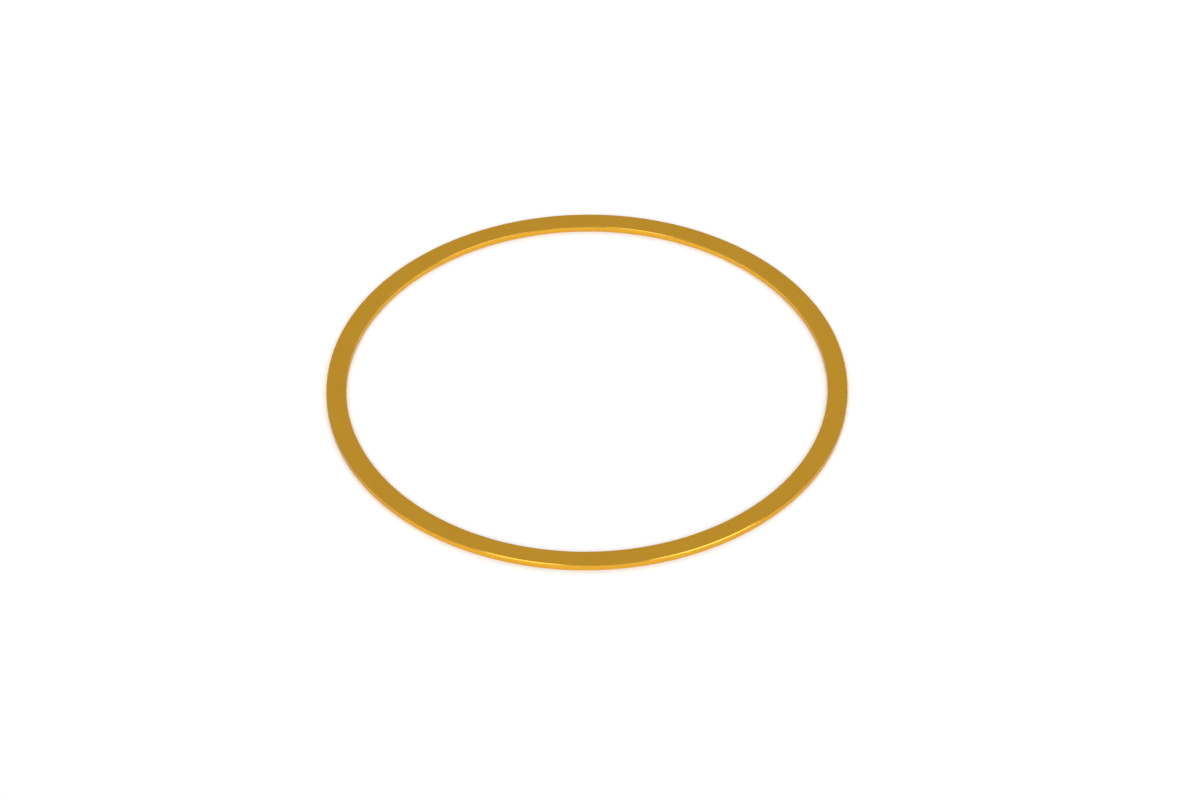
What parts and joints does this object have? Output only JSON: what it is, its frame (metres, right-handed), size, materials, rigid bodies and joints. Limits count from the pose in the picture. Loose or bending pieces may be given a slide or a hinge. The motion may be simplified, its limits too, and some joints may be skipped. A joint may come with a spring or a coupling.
{
  "type": "wreath frame",
  "caption": "Flat round metal ring with a wide open centre, a plain hoop that foliage and flowers are wired or tied onto.",
  "frame": {"origin": "centre of the ring, in the plane of the flat face that it lies on", "axes": "+Z along the ring's axis, from the face it lies on towards the face above; +X and +Y are two radii at right angles, and any two would do because the ring is the same all the way round"},
  "size_m": [0.325, 0.325, 0.0045],
  "materials": {
    "gold_anodised": "satin"
  },
  "bodies": {
    "root": {"flat_ring": "gold_anodised"}
  },
  "joints": []
}
